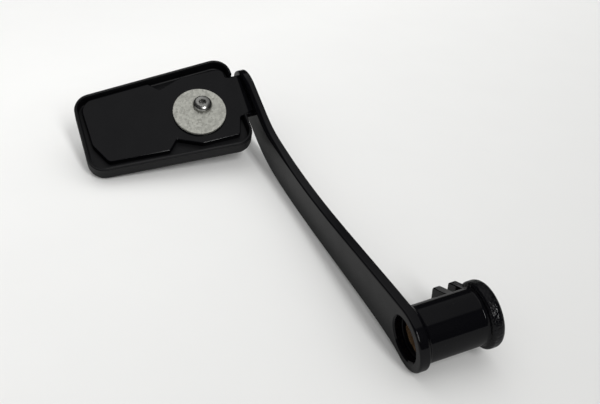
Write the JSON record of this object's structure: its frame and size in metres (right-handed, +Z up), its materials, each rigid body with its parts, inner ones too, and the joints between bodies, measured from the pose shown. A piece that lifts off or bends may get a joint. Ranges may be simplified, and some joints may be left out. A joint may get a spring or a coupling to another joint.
{
  "type": "motorcycle brake pedal",
  "caption": "Foot brake pedal: a curved flat lever from a hub tube with clevis ears to a notched plate that carries a broad moulded pad under a screw and a large washer.",
  "frame": {"origin": "middle of the footprint's bounding box, on the surface the pedal lies on", "axes": "+Z up from that surface, +Y from the hub towards the pad, +X from the pad side towards the hub's collar, with the hub's axis rising 8 degrees from +X"},
  "size_m": [0.1772, 0.306, 0.058],
  "materials": {
    "black_gloss_paint": "gloss black paint on forged steel",
    "black_rubber": "moulded black rubber, slightly glossy",
    "insert_steel": "plain turned steel",
    "galvanised_steel": "dull galvanised coat with faint mottling",
    "bright_steel": "smooth bright steel",
    "bronze": "plain sintered bronze"
  },
  "bodies": {
    "root": {"pedal_lever": "black_gloss_paint", "pedal_pad": "black_rubber", "pad_insert": "insert_steel", "pad_washer": "galvanised_steel", "pad_screw": "bright_steel", "outboard_bush": "bronze", "inboard_bush": "bronze"}
  },
  "joints": []
}
